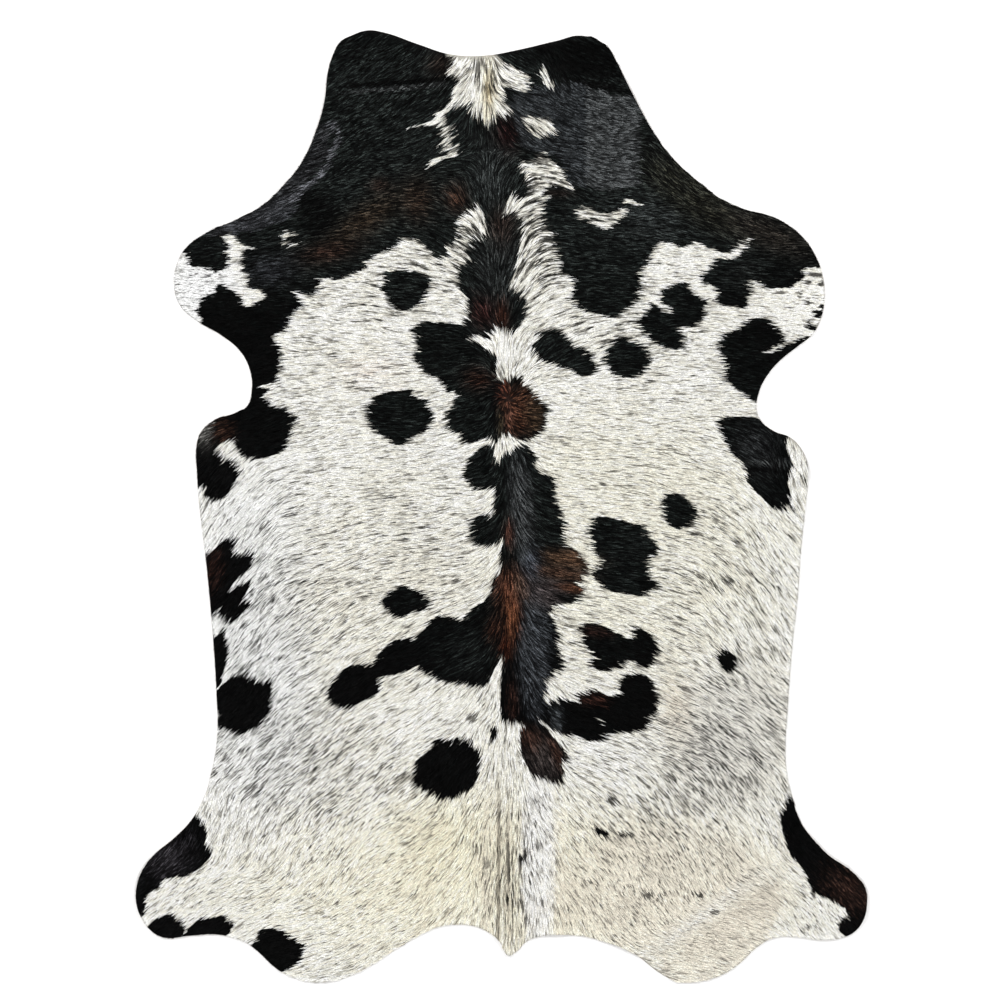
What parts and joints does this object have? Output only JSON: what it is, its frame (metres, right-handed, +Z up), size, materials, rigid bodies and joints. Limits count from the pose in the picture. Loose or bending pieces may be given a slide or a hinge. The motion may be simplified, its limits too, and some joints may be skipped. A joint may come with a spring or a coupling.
{
  "type": "cowhide rug",
  "caption": "Whole tanned cowhide with its short black and off-white hair, lying flat, with neck, leg and tail outline.",
  "frame": {"origin": "middle of the outline's box, on the floor under the hide", "axes": "+Y towards the neck end, along the spine; +X to the right seen from above; +Z up, out of the hair side"},
  "size_m": [1.68, 2.19, 0.012],
  "materials": {
    "coat": "short lying hair with a low sheen"
  },
  "bodies": {
    "root": {"hide": "coat"}
  },
  "joints": []
}
